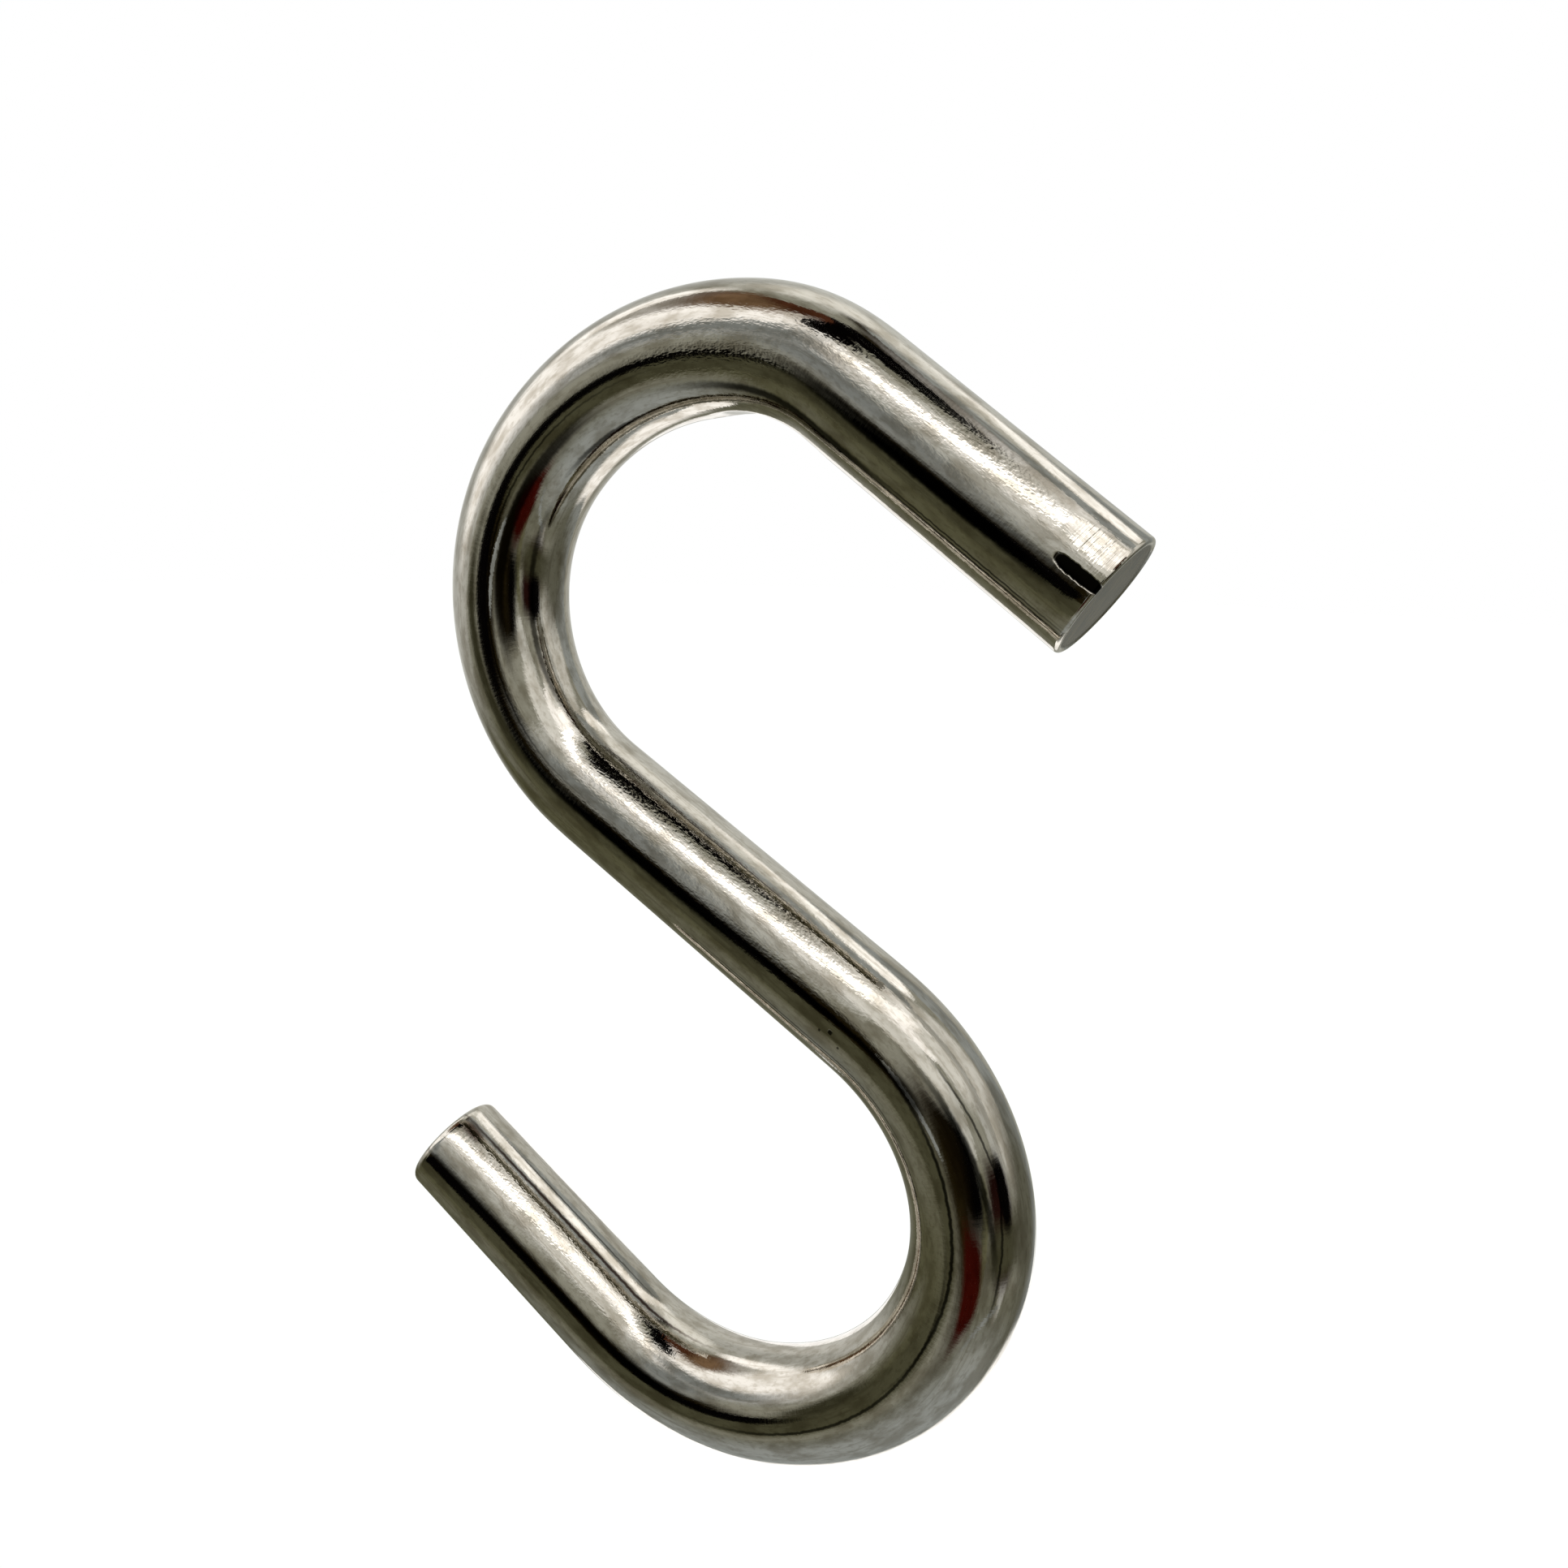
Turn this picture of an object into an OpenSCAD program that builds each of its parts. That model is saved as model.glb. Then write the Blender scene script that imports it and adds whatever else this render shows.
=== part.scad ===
// S hook bent from one length of round steel wire, with two open hooks that face opposite ways.
// It hangs in the XZ plane. The Z axis is the line of the load, through the two saddles where
// the wire carries, and the origin is the upper saddle, on the inside of the wire.

/* [Wire] */
// Diameter of the wire
wire_d = 5; // [3:0.1:7]
// How much thinner the wire is in its bends, where bending has stretched it
bend_thinning = 0.02; // [0.01:0.01:0.1]
// Straight length of the shank between the two hooks
shank_len = 15.4; // [8:0.1:30]

/* [Upper hook] */
// Centreline radius of the bend next to the shank
upper_root_r = 9.2; // [6:0.1:14]
// Turn of the bend next to the shank, in degrees
upper_root_turn = 99.5; // [70:0.5:125]
// Centreline radius of the flatter crown
upper_crown_r = 11.7; // [8:0.1:16]
// Turn of the crown, in degrees
upper_crown_turn = 57; // [40:0.5:75]
// Centreline radius of the sharp last bend
upper_tip_r = 7.5; // [6:0.1:12]
// Turn of the last bend, in degrees
upper_tip_turn = 28.5; // [15:0.5:40]
// Straight length of the free leg
upper_leg = 12.2; // [6:0.1:20]

/* [Lower hook] */
// Centreline radius of the bend next to the shank
lower_root_r = 9.8; // [6:0.1:14]
// Turn of the bend next to the shank, in degrees
lower_root_turn = 75; // [50:0.5:95]
// Centreline radius of the flatter crown
lower_crown_r = 12.2; // [8:0.1:16]
// Turn of the crown, in degrees
lower_crown_turn = 61; // [40:0.5:80]
// Centreline radius of the last bend
lower_tip_r = 10.3; // [6:0.1:14]
// Turn of the last bend, in degrees
lower_tip_turn = 47; // [30:0.5:60]
// Straight length of the free leg
lower_leg = 12.1; // [6:0.1:20]

/* [Cut ends] */
// Radius rolled onto the edge of the upper cut by the cropping blade
upper_edge_r = 0.15; // [0.05:0.05:0.6]
// Radius rolled onto the edge of the lower cut, worn rounder in the tumbler
lower_edge_r = 0.4; // [0.05:0.05:0.9]

/* [Pin print] */
// Depth that the bending pin pressed into the inside of the upper hook's last bend
print_depth = 0.2; // [0.05:0.05:0.5]

/* [Hidden] */
$fn = 96;

wire_r = wire_d / 2;
bend_r = (wire_d - bend_thinning) / 2;

// Each hook as it leaves the shank: the radius and the turn of its bends
upper_bends = [
    [upper_root_r, upper_root_turn],
    [upper_crown_r, upper_crown_turn],
    [upper_tip_r, upper_tip_turn]
];
lower_bends = [
    [lower_root_r, lower_root_turn],
    [lower_crown_r, lower_crown_turn],
    [lower_tip_r, lower_tip_turn]
];
tip = len(upper_bends) - 1;

// A hook is laid out from the middle of the shank, which runs up +Z, and bends towards +X.
// Place and heading [x, z, turn so far] on the centreline, once it has turned to a heading
// on the bend that starts at [x, z, turn so far]
function turned(start, r, heading) = [
    start[0] + r * (cos(start[2]) - cos(heading)),
    start[1] + r * (sin(heading) - sin(start[2])),
    heading
];

// Where bend i starts, or the leg for i past the last bend
function start_of(bends, i) =
    i == 0 ? [0, shank_len / 2, 0]
    : let (before = start_of(bends, i - 1))
        turned(before, bends[i - 1][0], before[2] + bends[i - 1][1]);

// Centre of bend i
function centre_of(bends, i) =
    let (start = start_of(bends, i))
    [
        start[0] + bends[i][0] * cos(start[2]),
        start[1] - bends[i][0] * sin(start[2])
    ];

// The point of the hook where the wire has turned to a heading
function point_at(bends, heading, i = 0) =
    let (start = start_of(bends, i))
    i == len(bends) - 1 || heading <= start[2] + bends[i][1]
        ? turned(start, bends[i][0], heading)
        : point_at(bends, heading, i + 1);

// Lean of the shank away from the load line. Both saddles are the points where the wire
// runs square to that line, so the lean is worked out again from its own result.
lean_start = 45;
lean_rounds = 30;
function lean_after(lean, rounds) =
    rounds <= 0 ? lean
    : let (
        upper = point_at(upper_bends, lean + 90),
        lower = point_at(lower_bends, lean + 90)
      )
      lean_after(atan2(upper[0] + lower[0], upper[1] + lower[1]), rounds - 1);
lean = lean_after(lean_start, lean_rounds);
upper_saddle = point_at(upper_bends, lean + 90);

// Puts its children at [x, z] in two steps, a rounded one and the small rest. Written out to
// six digits, the two still add up to the exact place, so neighbouring bends share a section.
rough_step = 0.001;
module at_place(p) {
    rough = [for (i = [0, 1]) round(p[i] / rough_step) * rough_step];
    translate([rough[0], 0, rough[1]])
        translate([p[0] - rough[0], 0, p[1] - rough[1]])
            children();
}

// Bend i of a hook
module bend(bends, i) {
    at_place(centre_of(bends, i))
        rotate([90, 0, 180])
            rotate_extrude(start = start_of(bends, i)[2], angle = bends[i][1])
                translate([bends[i][0], 0])
                    circle(r = bend_r);
}

// Straight leg up +Z, with its cut edge rolled round
module leg(length, edge_r) {
    rotate_extrude()
        union() {
            square([wire_r, length - edge_r]);
            square([wire_r - edge_r, length]);
            translate([wire_r - edge_r, length - edge_r])
                circle(r = edge_r);
        }
}

module half_hook(bends, leg_len, edge_r) {
    cylinder(d = wire_d, h = shank_len / 2);
    for (i = [0:len(bends) - 1])
        bend(bends, i);
    leg_start = start_of(bends, len(bends));
    at_place(leg_start)
        rotate([0, leg_start[2], 0])
            leg(leg_len, edge_r);
}

// The pin that the last bend of the upper hook was pulled round. It sits on the bend's own
// axis, so its print follows the bend and runs out along the leg and the crown.
module bending_pin() {
    at_place(centre_of(upper_bends, tip))
        rotate([90, 0, 0])
            cylinder(r = upper_tip_r - bend_r + print_depth, h = 2 * wire_d, center = true);
}

module hook() {
    color([0.68, 0.65, 0.58])
        translate([0, 0, bend_r])
            rotate([0, -lean, 0])
                translate([-upper_saddle[0], 0, -upper_saddle[1]])
                    difference() {
                        union() {
                            half_hook(upper_bends, upper_leg, upper_edge_r);
                            rotate([0, 180, 0])
                                half_hook(lower_bends, lower_leg, lower_edge_r);
                        }
                        bending_pin();
                    }
}

hook();
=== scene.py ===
# An S hook of bright nickel-plated steel wire, hung above a pale floor in a small photo tent.
# Lengths in the dictionaries are in millimetres, angles in degrees.
import math
import bpy
import bmesh
from mathutils import Euler, Matrix, Vector


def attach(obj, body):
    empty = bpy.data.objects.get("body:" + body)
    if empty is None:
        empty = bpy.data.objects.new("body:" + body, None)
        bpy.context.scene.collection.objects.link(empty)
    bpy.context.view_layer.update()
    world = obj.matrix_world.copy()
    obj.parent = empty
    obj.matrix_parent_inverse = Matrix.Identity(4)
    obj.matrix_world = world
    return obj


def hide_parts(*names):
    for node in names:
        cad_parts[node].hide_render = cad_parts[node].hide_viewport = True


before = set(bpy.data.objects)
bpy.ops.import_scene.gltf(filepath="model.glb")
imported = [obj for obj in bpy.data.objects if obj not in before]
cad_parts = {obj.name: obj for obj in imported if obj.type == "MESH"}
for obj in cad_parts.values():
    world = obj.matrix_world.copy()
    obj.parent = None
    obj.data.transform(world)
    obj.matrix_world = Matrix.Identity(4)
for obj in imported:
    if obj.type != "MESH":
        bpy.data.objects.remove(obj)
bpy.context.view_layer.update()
mm = 0.001

cornerPower = 3                         # of a card's or a mark's outline: 2 is an oval, more is squarer


def linear(hexColour):
    # sRGB hex to Blender's linear colour
    parts = [int(hexColour[i:i + 2], 16) / 255 for i in (1, 3, 5)]
    return [p / 12.92 if p <= 0.04045 else ((p + 0.055) / 1.055) ** 2.4 for p in parts] + [1.0]


def addNode(tree, kind, settings=None, inputs=None):
    # One node with its settings; an input that is given a socket is linked to it
    node = tree.nodes.new(kind)
    for name, value in (settings or {}).items():
        setattr(node, name, value)
    for key, value in (inputs or {}).items():
        if isinstance(value, bpy.types.NodeSocket):
            tree.links.new(value, node.inputs[key])
        else:
            node.inputs[key].default_value = value
    return node


def calculate(tree, operation, first, second=0.0, third=0.0):
    return addNode(tree, "ShaderNodeMath", {"operation": operation}, {
        0: first, 1: second, 2: third}).outputs[0]


def between(tree, value, low, high, fromLow, toHigh):
    # Goes smoothly from fromLow to toHigh while the value goes from low to high
    return addNode(tree, "ShaderNodeMapRange", {"interpolation_type": "SMOOTHSTEP"}, {
        "Value": value, "From Min": low, "From Max": high, "To Min": fromLow, "To Max": toHigh}).outputs[0]


def paintOver(tree, amount, under, over):
    # Inputs 6 and 7 and output 2 are a Mix node's colours
    return addNode(tree, "ShaderNodeMix", {"data_type": "RGBA"}, {0: amount, 6: under, 7: over}).outputs[2]


def softOval(tree, label, flat, centre, halfSize, tilt, soft):
    # 1 inside a rounded shape on the plane of flat's X and Y, and 0 outside, with a soft edge
    onCard = addNode(tree, "ShaderNodeMapping", {"vector_type": "TEXTURE", "label": label}, {
        "Vector": flat, "Location": (*centre, 0), "Rotation": (0, 0, math.radians(tilt)),
        "Scale": (*halfSize, 1)})
    size = addNode(tree, "ShaderNodeVectorMath", {"operation": "ABSOLUTE"}, {0: onCard.outputs[0]})
    raised = addNode(tree, "ShaderNodeVectorMath", {"operation": "POWER"}, {
        0: size.outputs[0], 1: [cornerPower] * 3})
    total = addNode(tree, "ShaderNodeVectorMath", {"operation": "DOT_PRODUCT"}, {
        0: raised.outputs[0], 1: (1, 1, 0)})
    reach = calculate(tree, "POWER", total.outputs["Value"], 1 / cornerPower)
    return between(tree, reach, 1 - soft, 1 + soft, 1.0, 0.0)


# Camera: where the photo was taken from, in the hook's own frame
view = {
    "place": (25.16, -43.42, -2.28),
    "turn": (76.4, -1.58, 27.88),
    "focalShare": 0.8023,               # focal length over the picture's width
    "sensorWidth": 36.0,
    "nearest": 1.0,
    "farthest": 20000.0,
}


def addCamera():
    cameraData = bpy.data.cameras.new("camera")
    cameraData.sensor_width = view["sensorWidth"]
    cameraData.lens = view["sensorWidth"] * view["focalShare"]
    cameraData.clip_start = view["nearest"] * mm
    cameraData.clip_end = view["farthest"] * mm
    camera = bpy.data.objects.new("camera", cameraData)
    bpy.context.scene.collection.objects.link(camera)
    turn = Euler([math.radians(angle) for angle in view["turn"]])
    camera.matrix_world = Matrix.LocRotScale(Vector(view["place"]) * mm, turn, None)
    bpy.context.scene.camera = camera


addCamera()
print("camera placed")

# The wire, from the cut of the upper leg to the cut of the lower leg. A turn is positive to the
# right of the way along, seen from the front. Headings go from +Z towards +X.
wire = {
    "radius": 2.5,
    "thinned": 0.01,                    # off the radius where the wire is bent
    "runs": [                           # length, or radius and turn
        (12.2,), (7.5, -28.5), (11.7, -57.0), (9.2, -99.5),
        (15.4,),
        (9.8, 75.0), (12.2, 61.0), (10.3, 47.0), (12.1,),
    ],
    "upperCrown": 2,                    # the runs that hold the saddles, and the sharp last bend
    "lowerCrown": 7,
    "upperTip": 1,
    "ease": 2.4,                        # length over which one run's curvature blends into the next
    "pathStep": 0.05,
    "startHeading": 305,                # before it is hung
    "levelHeading": 270,                # where it runs level, at both saddles
    "hangTurns": 30,                    # tries at hanging it, each closer
    "pinPrint": 0.2,                    # depth that the bending pin pressed in
    "pinLength": 20.0,
    "pinSides": 720,
    "shrink": 0.9993,                   # keeps the eased wire inside the CAD one
    "sides": 144,
    "ringPitch": 0.3,
    "endRing": 0.6,                     # first whole ring, from each cut
    "upperEdge": 0.15,                  # radius of the edge round each cut
    "lowerEdge": 0.4,
    "edgeSteps": 6,
    "faceRows": [                       # share of the face's radius, and how far it is sunk
        (0.985, 0.0), (0.965, 0.035), (0.94, 0.05), (0.9, 0.045), (0.7, 0.04), (0.4, 0.035), (0.15, 0.03),
    ],
    "land": {"around": 232, "length": 1.9, "fade": 0.5, "depth": 0.05},    # flat from the shear
    "close": 0.01,                      # points this near to a place are on it
    "merge": 0.001,
    "smoothUnder": 40,                  # a sharper edge than this stays sharp
}


def runEdges():
    # Distance along at the start of each run, and at the end of the last
    starts = [0.0]
    for run in wire["runs"]:
        starts.append(starts[-1] + (run[0] if len(run) == 1 else run[0] * math.radians(abs(run[1]))))
    return starts


edges = runEdges()


def eased(distance, width):
    # 0 to 1 over the width, which is centred on distance 0
    u = max(-1.0, min(1.0, 2 * distance / width))
    return (1 + u + math.sin(math.pi * u) / math.pi) / 2


def bentShare(along, start, end):
    return eased(along - start, wire["ease"]) - eased(along - end, wire["ease"])


def curvature(along):
    return sum(bentShare(along, start, end) * math.copysign(1 / run[0], run[1])
               for start, end, run in zip(edges, edges[1:], wire["runs"]) if len(run) == 2)


def walkWire():
    # The centreline as points and headings, summed up in small steps from the upper cut
    count = math.ceil(edges[-1] / wire["pathStep"])
    step = edges[-1] / count
    point, heading = Vector((0, 0, 0)), 0.0
    walk = [(point, heading)]
    for i in range(count):
        turn = curvature((i + 0.5) * step) * step
        middle = heading + turn / 2
        point = point + Vector((math.sin(middle), 0, math.cos(middle))) * step
        heading += turn
        walk.append((point, heading))
    return walk


def whereHeading(walk, run, heading):
    # Where the wire has turned to a heading, in or close to a run
    spread = wire["ease"]
    step = edges[-1] / (len(walk) - 1)
    for i in range(int((edges[run] - spread) / step), int((edges[run + 1] + spread) / step)):
        before, after = walk[i][1] - heading, walk[i + 1][1] - heading
        if before * after <= 0:
            return walk[i][0].lerp(walk[i + 1][0], before / (before - after))


def hangWire(walk):
    # Turns the walk till both saddles, where the wire runs level, are on the load line, and sets
    # the inside of the upper one on the origin
    heading = math.radians(wire["startHeading"])
    for attempt in range(wire["hangTurns"]):
        level = math.radians(wire["levelHeading"]) - heading
        upper = whereHeading(walk, wire["upperCrown"], level)
        lower = whereHeading(walk, wire["lowerCrown"], level)
        heading = math.pi - math.atan2((lower - upper).x, (lower - upper).z)
        heading %= 2 * math.pi
    turn = Matrix.Rotation(heading, 3, "Y")
    top = Vector((0, 0, wire["radius"] - wire["thinned"]))
    return [(turn @ (point - upper) + top, way + heading) for point, way in walk]


path = hangWire(walkWire())


def selectRing(height):
    # The open ring of edges at a height on the straight wire
    bpy.ops.mesh.select_all(action="DESELECT")
    mesh = bmesh.from_edit_mesh(bpy.context.object.data)
    for edge in mesh.edges:
        if edge.is_boundary and abs(edge.verts[0].co.z / mm - height) < wire["close"]:
            edge.select = True
    bmesh.update_edit_mesh(bpy.context.object.data)


def closeEnd(height, outward, edge):
    # Rolls the edge of a cut and closes it, with the lip that the shear left round its face.
    # height is that of the last whole ring, outward is 1 or -1.
    radius = wire["radius"]
    rows = []
    for step in range(wire["edgeSteps"] + 1):
        angle = math.pi / 2 * step / wire["edgeSteps"]
        rows.append((wire["endRing"] - edge + edge * math.sin(angle), radius - edge + edge * math.cos(angle)))
    rows += [(wire["endRing"] - sunk, (radius - edge) * share) for share, sunk in wire["faceRows"]]
    selectRing(height)
    reached, size = 0.0, radius
    for depth, width in rows:
        bpy.ops.mesh.extrude_edges_move(
            TRANSFORM_OT_translate={"value": (0, 0, outward * (depth - reached) * mm)})
        bpy.ops.transform.resize(value=(width / size, width / size, 1), center_override=(0, 0, 0))
        reached, size = depth, width
    bpy.ops.mesh.edge_face_add()
    bpy.ops.mesh.poke()


def drawWire():
    # The straight wire, up Z from its upper cut
    bpy.ops.object.select_all(action="DESELECT")
    bpy.ops.mesh.primitive_circle_add(vertices=wire["sides"], radius=wire["radius"] * mm,
                                      fill_type="NOTHING", location=(0, 0, wire["endRing"] * mm))
    piece = bpy.context.object
    piece.name = "s_hook_wire"
    bpy.ops.object.transform_apply(location=True, rotation=True, scale=True)
    length = edges[-1] - 2 * wire["endRing"]
    draw = piece.modifiers.new("draw", "SCREW")
    draw.angle = 0
    draw.screw_offset = length * mm
    draw.steps = draw.render_steps = round(length / wire["ringPitch"])
    bpy.ops.object.modifier_apply(modifier="draw")
    bpy.ops.object.mode_set(mode="EDIT")
    closeEnd(wire["endRing"], -1, wire["upperEdge"])
    closeEnd(edges[-1] - wire["endRing"], 1, wire["lowerEdge"])
    bpy.ops.mesh.select_all(action="SELECT")
    bpy.ops.mesh.remove_doubles(threshold=wire["merge"] * mm)
    bpy.ops.mesh.normals_make_consistent(inside=False)
    bpy.ops.object.mode_set(mode="OBJECT")
    return piece


def markPlaces(piece):
    # Each point's place on the straight wire, in mm: to the bends' right, to the back, along
    follow = piece.data.attributes.new("wirePlace", "FLOAT_VECTOR", "POINT")
    for vertex in piece.data.vertices:
        x, y, z = vertex.co / mm
        follow.data[vertex.index].vector = (y, -x, z)


def thinWire(piece):
    # Thinner in the bends, and flat where the shear held the wire
    land = wire["land"]
    deepest = land["depth"]
    flat = wire["radius"] - land["depth"]
    bent = [(start, end) for start, end, run in zip(edges, edges[1:], wire["runs"]) if len(run) == 2]
    pressed = piece.vertex_groups.new(name="pressed")
    for vertex, place in zip(piece.data.vertices, piece.data.attributes["wirePlace"].data):
        across, back, along = place.vector
        depth = wire["thinned"] * min(1.0, sum(bentShare(along, *ends) for ends in bent))
        facing = math.cos(math.atan2(back, -across) - math.radians(land["around"]))
        if math.hypot(across, back) > wire["radius"] - wire["close"] and facing > 0:
            held = 1 - eased(along - land["length"], land["fade"])
            depth += held * max(0.0, wire["radius"] - flat / facing)
        pressed.add([vertex.index], depth / deepest, "REPLACE")
    press = piece.modifiers.new("press", "DISPLACE")
    press.vertex_group = "pressed"
    press.mid_level = 0.0
    press.strength = -deepest * mm
    bpy.ops.object.modifier_apply(modifier="press")


def bendWire(piece):
    # Bends the straight wire onto the path
    curve = bpy.data.curves.new("path", "CURVE")
    curve.dimensions = "3D"
    line = curve.splines.new("POLY")
    line.points.add(len(path) - 1)
    for corner, (point, way) in zip(line.points, path):
        corner.co = (*(point * mm), 1)
    guide = bpy.data.objects.new("path", curve)
    bpy.context.scene.collection.objects.link(guide)
    bend = piece.modifiers.new("bend", "CURVE")
    bend.object = guide
    bend.deform_axis = "POS_Z"
    bpy.ops.object.modifier_apply(modifier="bend")
    bpy.data.objects.remove(guide)


def printPin(piece):
    # The flat that the bending pin pressed into the inside of the last bend
    radius, turn = wire["runs"][wire["upperTip"]]
    middle = (edges[wire["upperTip"]] + edges[wire["upperTip"] + 1]) / 2
    point, way = path[round(middle / edges[-1] * (len(path) - 1))]
    side = math.copysign(1, turn)
    centre = point + Vector((math.cos(way), 0, -math.sin(way))) * side * radius
    pinRadius = radius - wire["radius"] + wire["thinned"] + wire["pinPrint"]
    bpy.ops.object.select_all(action="DESELECT")
    bpy.ops.mesh.primitive_cylinder_add(
        vertices=wire["pinSides"], radius=pinRadius * mm, depth=wire["pinLength"] * mm,
        location=centre * mm, rotation=(math.pi / 2, 0, 0))
    pin = bpy.context.object
    bpy.context.view_layer.objects.active = piece
    push = piece.modifiers.new("push", "SHRINKWRAP")
    push.target = pin
    push.wrap_method = "NEAREST_SURFACEPOINT"
    push.wrap_mode = "OUTSIDE"
    bpy.ops.object.modifier_apply(modifier="push")
    bpy.data.objects.remove(pin)


def finishWire(piece):
    # A trace smaller, with its faces outwards and shaded smooth
    bpy.ops.object.select_all(action="DESELECT")
    piece.select_set(True)
    bpy.context.view_layer.objects.active = piece
    bpy.ops.object.mode_set(mode="EDIT")
    bpy.ops.mesh.select_all(action="SELECT")
    bpy.ops.transform.resize(value=[wire["shrink"]] * 3, center_override=(0, 0, 0))
    bpy.ops.mesh.normals_make_consistent(inside=False)
    bpy.ops.object.mode_set(mode="OBJECT")
    bpy.ops.object.shade_smooth_by_angle(angle=math.radians(wire["smoothUnder"]))


hookWire = drawWire()
markPlaces(hookWire)
print("wire drawn,", len(hookWire.data.vertices), "vertices,", round(edges[-1], 2), "mm long")
thinWire(hookWire)
bendWire(hookWire)
printPin(hookWire)
finishWire(hookWire)
print("wire bent, lower saddle at", round(min(point.z for point, way in path) + wire["radius"], 2), "mm")

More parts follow.
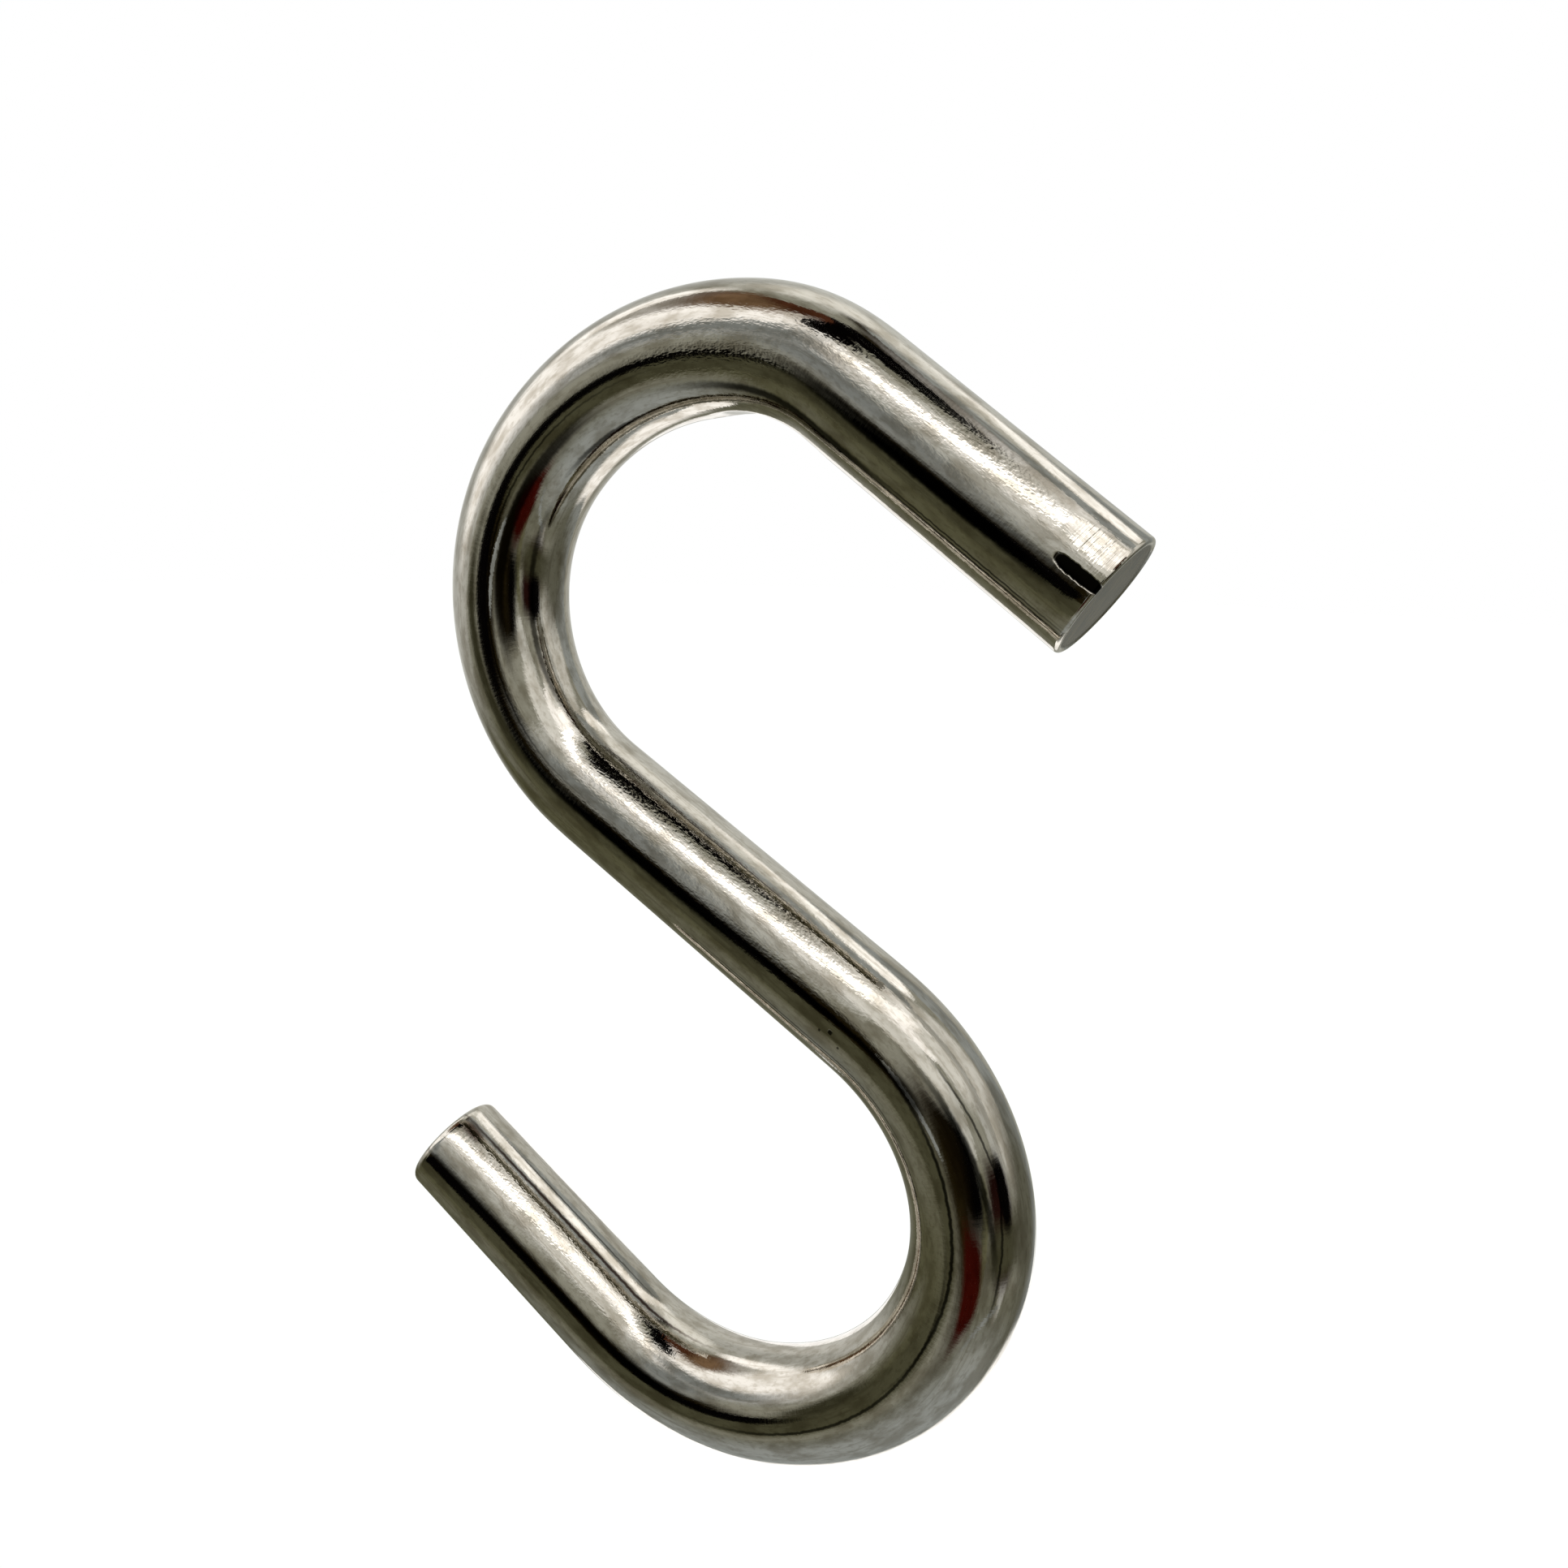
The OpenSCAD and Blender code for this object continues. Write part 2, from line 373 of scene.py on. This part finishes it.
# Nickel plate: drawn steel wire, tumbled and bright nickel plated. A warm, near-white mirror over
# the lines of the drawing die, with orange peel, polishing hairs and pits, and with dark and umber
# reflections of the room painted on as streaks, lines and spots. The grain is drawn coarser than
# the real one, which a picture of this size can't hold.
nickel = {
    "paints": {"plate": "#DDD7CD", "worn": "#A59C8C", "black": "#0C0A07", "umber": "#3A1C10", "cut": "#85847F"},
    "roughness": (0.03, 0.10),          # in the low and in the high parts of the drawn lines
    "roughnessAt": (0.3, 0.8),
    "layers": {                         # features per mm across and along the wire, detail, height
        "wave": (0.5, 0.06, 1.0, 0.006),
        "drawnLines": (8.0, 0.08, 2.0, 0.0011),
        "orangePeel": (3.0, 1.5, 2.0, 0.0008),
        "hairs": (1.6, 8.0, 2.0, 0.0014),
    },
    "grain": (12.0, 5.0, 1.0, 0.0013),
    "grainMore": 5.0,                   # times as high where the wire was worked
    "worked": [                         # name, mm along, degrees round, half length, half width
        ("kink", 12, 246, 9, 0.6),
        ("crown", 17, 270, 3, 1.6),
        ("shank", 50, 310, 9, 1.2),
        ("upper leg", 4, 236, 5, 0.7),
        ("lower leg", 97, 215, 8, 0.8),
    ],
    "workedSoft": 0.6,
    "shearLines": (0.7, 14.0, 1.0, 0.009),
    "landHalfWidth": 0.75,
    "landSoft": 0.2,
    "tints": {                          # across, along, detail, noise where it starts and ends, amount
        "streaks": (6.0, 0.12, 3.0, 0.52, 0.7, 0.55),    # dull, along the wire
        "clouds": (1.8, 0.7, 4.0, 0.4, 0.68, 0.75),      # tarnish that the tumbler left
        "flecks": (7.0, 3.0, 2.0, 0.48, 0.72, 0.45),     # dull specks from the tumbler
    },
    "ragged": (0.9, 4.0, 2.0, 0.1),     # across, along, detail, and reach, of a mark's edge
    # Besides the shear slot and the pits, the rows are painted reflections of the room
    "marksAndPaintedReflections": [         # name, mm along, degrees round, half length, half width, tilt, soft, depth, paint, amount
        ("shear slot", 0.95, 258, 1.0, 0.24, 0, 0.1, 0.03, "black", 1.0),
        ("pit", 58.4, 269, 0.11, 0.09, 0, 0.4, 0.01, "black", 0.9),
        ("small pit", 58.0, 263, 0.06, 0.06, 0, 0.4, 0, "black", 0.8),
        ("small pit", 59.0, 261, 0.06, 0.05, 0, 0.4, 0, "black", 0.8),
        # From this row on, all rows are painted reflections: dark and umber streaks, lines and spots where the
        # room's dark and brown things show in the metal
        ("painted dark streak, leg", 7.7, 276, 6.2, 0.26, 0, 0.3, 0, "black", 0.92),
        ("painted dark line", 4.3, 303.5, 3.8, 0.04, 0, 0.5, 0, "black", 0.8),
        ("painted dark line", 4.3, 307, 3.8, 0.03, 0, 0.5, 0, "black", 0.8),
        ("painted dark streak, bend", 13, 306, 5.2, 0.16, 0, 0.5, 0, "black", 0.9),
        ("painted dark streak, bend", 23.5, 323, 2.6, 0.10, 0, 0.5, 0, "black", 0.8),
        ("painted dark band, bend", 29.5, 298, 6.5, 0.22, 0, 0.35, 0, "black", 0.85),
        ("painted dark streak, bend", 35, 329, 5.5, 0.12, 1, 0.5, 0, "black", 0.8),
        ("painted dark line", 32.5, 286.5, 10.5, 0.04, 0, 0.5, 0, "black", 0.75),
        ("painted dark streak, shank", 46.5, 275, 6.6, 0.25, 0, 0.4, 0, "black", 0.85),
        ("painted dark line", 50, 336, 4.5, 0.03, 0, 0.5, 0, "black", 0.7),
        ("painted dark line", 58, 246, 5.5, 0.04, 0, 0.5, 0, "black", 0.6),
        ("painted dark streak, bend", 57.3, 281, 4.8, 0.12, 0, 0.5, 0, "black", 0.9),
        ("painted dark spot", 62, 283, 0.9, 0.24, 0, 0.5, 0, "black", 0.8),
        ("painted dark streak, bend", 68, 271.5, 6.5, 0.07, -3, 0.5, 0, "black", 0.9),
        ("painted dark line", 78, 265, 8.0, 0.06, 0, 0.5, 0, "black", 0.8),
        ("painted dark streak, bend", 65.2, 306, 3.4, 0.13, 2, 0.5, 0, "black", 0.9),
        # painted umber reflection of the room's brown things, like the umber line and spot below
        ("painted umber reflection, bend", 65, 293, 3.0, 0.3, 0, 0.6, 0, "umber", 0.6),
        ("painted dark line", 64.2, 320, 2.2, 0.045, 3, 0.5, 0, "black", 0.8),
        ("painted dark line", 68.2, 316, 2.3, 0.05, -6, 0.5, 0, "black", 0.8),
        ("painted dark line", 98, 176, 5.5, 0.04, 0, 0.5, 0, "black", 0.7),
        ("painted umber line, lower leg", 97, 192, 8.2, 0.07, 0, 0.4, 0, "umber", 0.9),
        ("painted dark streak, leg", 97.5, 248.5, 7.6, 0.10, 0, 0.5, 0, "black", 0.85),
        ("painted dark streak, leg", 93, 250, 4.5, 0.2, 0, 0.5, 0, "black", 0.8),
        ("painted umber spot, lower leg", 104.3, 200, 0.6, 0.3, 0, 0.5, 0, "umber", 0.8),
    ],
    "face": {                           # the cut faces
        "edge": (2.2, 2.3),             # from the wire's middle
        "roughness": 0.4,
        "dragTurn": 35,
        "dragLines": (1.1, 9.0, 3.0, 0.008),    # per mm along and across the drag, detail, height
        "wornAt": (0.35, 0.65),
    },
}


def noiseLayer(tree, place, name, across, along, detail):
    stretch = addNode(tree, "ShaderNodeMapping", {"label": name}, {
        "Vector": place, "Scale": (across, across, along)})
    return addNode(tree, "ShaderNodeTexNoise", {"label": name}, {
        "Vector": stretch.outputs[0], "Scale": 1.0, "Detail": detail, "Roughness": 0.5}).outputs["Fac"]


def nickelPlate():
    material = bpy.data.materials.new("nickel_plate_bright")
    material.use_nodes = True
    tree = material.node_tree
    tree.nodes.clear()
    paints = {name: linear(colour) for name, colour in nickel["paints"].items()}
    radius = wire["radius"]
    arc = math.radians(radius)          # mm round the wire to a degree

    # The surface unrolled: along in X, and round the wire from its inner side, by the front, in Y
    place = addNode(tree, "ShaderNodeAttribute", {
        "attribute_type": "GEOMETRY", "attribute_name": "wirePlace"}).outputs["Vector"]
    parts = addNode(tree, "ShaderNodeSeparateXYZ", None, {0: place})
    along = parts.outputs["Z"]
    front = calculate(tree, "MULTIPLY", parts.outputs["Y"], -1.0)
    turn = calculate(tree, "ARCTAN2", front, parts.outputs["X"])
    around = calculate(tree, "MULTIPLY_ADD", turn, radius, math.pi * radius)
    unrolled = addNode(tree, "ShaderNodeCombineXYZ", None, {"X": along, "Y": around}).outputs[0]
    across, lengthwise, detail, reach = nickel["ragged"]
    rag = noiseLayer(tree, place, "ragged", across, lengthwise, detail)
    raggedAlong = calculate(tree, "MULTIPLY_ADD", rag, 2 * reach, along)
    raggedAround = calculate(tree, "MULTIPLY_ADD", calculate(tree, "SUBTRACT", rag, 0.5), reach, around)
    ragged = addNode(tree, "ShaderNodeCombineXYZ", None, {"X": raggedAlong, "Y": raggedAround}).outputs[0]

    # The relief of the wall
    height = 0.0
    layers = {}
    for name, (across, lengthwise, detail, high) in nickel["layers"].items():
        layers[name] = noiseLayer(tree, place, name, across, lengthwise, detail)
        height = calculate(tree, "MULTIPLY_ADD", layers[name], high, height)
    worked = 0.0
    for name, centre, degrees, halfLength, halfWidth in nickel["worked"]:
        zone = softOval(tree, name, unrolled, (centre, degrees * arc), (halfLength, halfWidth),
                        0, nickel["workedSoft"])
        worked = calculate(tree, "MAXIMUM", zone, worked)
    across, lengthwise, detail, high = nickel["grain"]
    grain = noiseLayer(tree, place, "grain", across, lengthwise, detail)
    grainHigh = calculate(tree, "MULTIPLY_ADD", worked, high * (nickel["grainMore"] - 1), high)
    height = calculate(tree, "MULTIPLY_ADD", grain, grainHigh, height)
    across, lengthwise, detail, high = nickel["shearLines"]
    shear = noiseLayer(tree, place, "shear lines", across, lengthwise, detail)
    land = softOval(tree, "land", unrolled, (0, wire["land"]["around"] * arc),
                    (wire["land"]["length"], nickel["landHalfWidth"]), 0, nickel["landSoft"])
    height = calculate(tree, "MULTIPLY_ADD", shear, calculate(tree, "MULTIPLY", land, high), height)

    # The plate's colour, its marks and its painted reflections
    tints = {}
    for name, (across, lengthwise, detail, starts, ends, amount) in nickel["tints"].items():
        noise = noiseLayer(tree, place, name, across, lengthwise, detail)
        tints[name] = between(tree, noise, starts, ends, 0.0, amount)
    tarnish = calculate(tree, "MAXIMUM", tints["streaks"], tints["clouds"])
    colour = paintOver(tree, tarnish, paints["plate"], paints["worn"])
    colour = paintOver(tree, tints["flecks"], colour, paints["worn"])
    rough = between(tree, layers["drawnLines"], *nickel["roughnessAt"], *nickel["roughness"])
    # Paints the marks, and the painted dark and umber reflections, over the plate's colour; only the shear slot
    # and the pit are also sunk
    for name, centre, degrees, halfLength, halfWidth, tilt, soft, depth, paint, amount in nickel["marksAndPaintedReflections"]:
        mask = softOval(tree, name, ragged, (centre, degrees * arc), (halfLength, halfWidth), tilt, soft)
        colour = paintOver(tree, calculate(tree, "MULTIPLY", mask, amount), colour, paints[paint])
        if depth:
            height = calculate(tree, "MULTIPLY_ADD", mask, -depth, height)

    # The cut faces are duller and darker, with the lines that the shear dragged over them
    face = nickel["face"]
    flat = addNode(tree, "ShaderNodeCombineXYZ", None, {"X": parts.outputs["X"], "Y": parts.outputs["Y"]})
    fromMiddle = addNode(tree, "ShaderNodeVectorMath", {"operation": "LENGTH"}, {0: flat.outputs[0]})
    onFace = between(tree, fromMiddle.outputs["Value"], *face["edge"], 1.0, 0.0)
    alongDrag, acrossDrag, detail, high = face["dragLines"]
    stretch = addNode(tree, "ShaderNodeMapping", {"label": "drag"}, {
        "Vector": place, "Rotation": (0, 0, math.radians(face["dragTurn"])),
        "Scale": (alongDrag, acrossDrag, 1.0)})
    drag = addNode(tree, "ShaderNodeTexNoise", {"label": "drag"}, {
        "Vector": stretch.outputs[0], "Scale": 1.0, "Detail": detail, "Roughness": 0.6}).outputs["Fac"]
    worn = between(tree, drag, *face["wornAt"], 0.0, 1.0)
    colour = paintOver(tree, onFace, colour, paintOver(tree, worn, paints["cut"], paints["worn"]))
    height = calculate(tree, "MULTIPLY", height, calculate(tree, "SUBTRACT", 1.0, onFace))
    height = calculate(tree, "MULTIPLY_ADD", drag, calculate(tree, "MULTIPLY", onFace, high), height)
    rough = calculate(tree, "MAXIMUM", rough, calculate(tree, "MULTIPLY", onFace, face["roughness"]))

    bump = addNode(tree, "ShaderNodeBump", None, {"Strength": 1.0, "Distance": 1 * mm, "Height": height})
    plate = addNode(tree, "ShaderNodeBsdfPrincipled", None, {
        "Base Color": colour, "Metallic": 1.0, "Roughness": rough, "Normal": bump.outputs["Normal"]})
    addNode(tree, "ShaderNodeOutputMaterial", None, {"Surface": plate.outputs[0]})
    return material


hookWire.data.materials.clear()
hookWire.data.materials.append(nickelPlate())
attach(hookWire, "root")
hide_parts("hook")
print("nickel plated")

# Pale floor, well under the hanging hook
floor = {
    "height": -80.0,
    "radius": 900.0,
    "sides": 96,
    "colour": "#BFC1BE",
    "lift": 0.5,                        # for the camera alone, so that the floor shows white
}


def layFloor():
    bpy.ops.object.select_all(action="DESELECT")
    bpy.ops.mesh.primitive_circle_add(vertices=floor["sides"], radius=floor["radius"] * mm,
                                      fill_type="NGON", location=(0, 0, floor["height"] * mm))
    ground = bpy.context.object
    ground.name = "floor"
    bpy.ops.object.transform_apply(location=True, rotation=True, scale=True)
    material = bpy.data.materials.new("floor_paper")
    material.use_nodes = True
    tree = material.node_tree
    tree.nodes.clear()
    seen = addNode(tree, "ShaderNodeLightPath")
    paper = addNode(tree, "ShaderNodeBsdfDiffuse", None, {"Color": linear(floor["colour"])})
    lift = calculate(tree, "MULTIPLY", seen.outputs["Is Camera Ray"], floor["lift"])
    glow = addNode(tree, "ShaderNodeEmission", None, {"Color": (1, 1, 1, 1), "Strength": lift})
    both = addNode(tree, "ShaderNodeAddShader", None, {0: paper.outputs[0], 1: glow.outputs[0]})
    addNode(tree, "ShaderNodeOutputMaterial", None, {"Surface": both.outputs[0]})
    ground.data.materials.append(material)
    ground.visible_glossy = False       # the metal sees the tent's own floor


layFloor()

# The room round the hook, as the metal sees it: a window, lamps and pale boards, with the
# darker things between them. A card is at an azimuth from the camera's side and an elevation,
# with its half sizes and tilt, all in degrees, and its soft edge as a share of its size. Later
# cards lie over earlier ones.
tent = {
    "front": -60,                       # azimuth of the camera's side, from +X
    "level": 1.12,                      # strength of the whole tent
    "paints": {
        "black": "#050404", "umber": "#1C0C0A", "red": "#3A0C06", "olive": "#241E0E",
        "moss": "#4C4C3A", "stone": "#6E6F62", "wall": "#929389", "slate": "#848989",
        "grey": "#BABCB8", "paper": "#D8D9D5", "white": "#FFFFFF", "wood": "#7A624A",
        "brown": "#4E2E1E",
    },
    "wall": "wall",
    "cards": [
        # name, azimuth, elevation, half width, half height, tilt, soft edge, paint, strength
        ("foot of the walls", 180, -51, 360, 10, -2, 0.5, "stone", 1),
        ("floor", 0, -80, 360, 25, 0, 0.6, "slate", 1.3),
        ("ceiling", 0, 85, 360, 7, -7, 0.5, "olive", 1),
        ("wood ceiling", -70, 70, 70, 20, 17, 0.1, "brown", 1),
        ("wall, left", -120, 0, 45, 22, 32, 0.1, "grey", 1),
        ("wall, back left", -150, 17, 56, 26, 22, 0.6, "paper", 0.9),
        ("skirting, left", -97, -29, 76, 16, 7, 0.6, "moss", 1.3),
        ("window, left", -81, 35, 57, 22, 28, 0.25, "white", 1.2),
        ("window, back", 163, 46, 22, 33, -5, 0.5, "grey", 1.2),
        ("soft light", -12, 46, 97, 13, 10, 0.45, "white", 1.15),
        ("main light", 41, 46, 39, 12, -12, 0.15, "white", 1.2),
        ("strip light", 125, 48, 20, 6, -17, 0.3, "white", 1.5),
        ("board, right", 124, 15, 14, 28, -23, 0.1, "slate", 1.3),
        ("panel, right", 86, 23, 20, 35, 8, 0.25, "paper", 1),
        ("stand, right", 63, 6, 9, 54, -15, 0.1, "grey", 0.9),
        ("case, right", 48, -18, 20, 20, 0, 0.3, "umber", 1.4),
        ("skirting, right", 58, -25, 52, 8, 5, 0.6, "moss", 0.8),
        ("sweep, right", 157, -49, 34, 15, -12, 0.3, "white", 1.2),
        ("sweep", -175, -19, 12, 10, 34, 0.1, "white", 1.1),
        ("sweep, left", -172, -53, 28, 7, -5, 0.1, "white", 1.2),
        ("panel, front", 22, 15, 9, 15, -15, 0.1, "grey", 1.1),
        ("stand, front", 15, -22, 4, 22, -34, 0.4, "moss", 1.7),
        ("black flag, front", 2, -8, 16, 16, 10, 0.3, "black", 1),
        ("drape, front", -17, -20, 12, 26, -25, 0.6, "olive", 1),
        ("red drape", -8, -36, 16, 11, 8, 0.3, "red", 0.9),
        ("doorway", -44, -5, 16, 16, 20, 0.35, "olive", 0.7),
        ("cornice", 103, 63, 25, 6, 13, 0.1, "slate", 1.3),
        ("wall, front left", -35, 25, 22, 8, 38, 0.45, "grey", 1),
        ("curtain", -61, 30, 31, 9, 35, 0.6, "slate", 0.95),
        ("curtain, low", -47, 19, 11, 12, -32, 0.6, "slate", 0.9),
        ("shelf", -59, -23, 22, 12, -15, 0.2, "moss", 0.9),
        ("post", -31, -12, 3, 8, 18, 0.1, "slate", 1.1),
        ("wall, front", 6, 34, 22, 12, -29, 0.3, "paper", 1.1),
        ("wall, front right", 50, 44, 23, 15, -67, 0.35, "paper", 1.1),
        ("table edge", 27, -47, 25, 1.2, 10, 0.1, "slate", 1.1),
        ("cabinet", 121, -17, 19, 29, 16, 0.1, "slate", 1.2),
        ("cabinet, front", 102, -21, 25, 28, 54, 0.6, "stone", 0.7),
        ("pelmet", -16, 62, 25, 3, 2, 0.1, "grey", 1.2),
        ("window post", -139, 41, 8, 18, 32, 0.4, "white", 1.3),
        ("wall panel", -146, 17, 48, 12, -39, 0.6, "grey", 0.9),
        ("wood edge", -98, 63, 34, 8, 0, 0.6, "wood", 1),
        ("backdrop top", 162, 59, 38, 12, 6, 0.6, "paper", 1.3),
        ("black flag, left", -53, -8, 14, 6, 20, 0.25, "black", 1),
        ("black flag, right", 56, -8, 9, 12, 0, 0.3, "black", 1),
        ("black flag, overhead", 32, 84, 42, 13.5, 0, 0.07, "black", 1),
        ("black flag, high", -25, 70, 25, 9, 17, 0.15, "black", 1),
        ("lamp tube", 0, 54, 32, 3.5, 12, 0.35, "white", 2.2),
        ("lamp shade", 34, 54, 20, 5, 0, 0.5, "white", 1.4),
        ("drape, left", -76, -9, 9, 7, 20, 0.5, "moss", 0.6),
    ],
}


def raiseTent():
    world = bpy.data.worlds.new("tent")
    bpy.context.scene.world = world
    world.use_nodes = True
    world.cycles.sampling_method = "NONE"
    tree = world.node_tree
    tree.nodes.clear()
    direction = addNode(tree, "ShaderNodeTexCoord").outputs["Generated"]
    level = addNode(tree, "ShaderNodeSeparateXYZ", None, {0: direction})
    elevation = calculate(tree, "ARCSINE", level.outputs["Z"])
    colour = linear(tent["paints"][tent["wall"]])
    for name, azimuth, height, halfWidth, halfHeight, tilt, soft, paint, strength in tent["cards"]:
        facing = addNode(tree, "ShaderNodeVectorRotate", {"rotation_type": "Z_AXIS"}, {
            "Vector": direction, "Angle": -math.radians(tent["front"] + azimuth)})
        parts = addNode(tree, "ShaderNodeSeparateXYZ", None, {0: facing.outputs[0]})
        turn = calculate(tree, "ARCTAN2", parts.outputs["Y"], parts.outputs["X"])
        flat = addNode(tree, "ShaderNodeCombineXYZ", None, {"X": turn, "Y": elevation})
        mask = softOval(tree, name, flat.outputs[0], (0, math.radians(height)),
                        (math.radians(halfWidth), math.radians(halfHeight)), tilt, soft)
        shade = [x * strength for x in linear(tent["paints"][paint])[:3]] + [1.0]
        colour = paintOver(tree, mask, colour, shade)
    seen = addNode(tree, "ShaderNodeLightPath")
    inside = addNode(tree, "ShaderNodeBackground", None, {"Color": colour, "Strength": tent["level"]})
    plain = addNode(tree, "ShaderNodeBackground", None, {"Color": (1, 1, 1, 1), "Strength": 1.0})
    light = addNode(tree, "ShaderNodeMixShader", None, {
        0: seen.outputs["Is Glossy Ray"], 1: plain.outputs[0], 2: inside.outputs[0]})
    addNode(tree, "ShaderNodeOutputWorld", None, {"Surface": light.outputs[0]})


raiseTent()
bpy.context.scene.view_settings.view_transform = "Standard"
print("floor laid and tent raised")
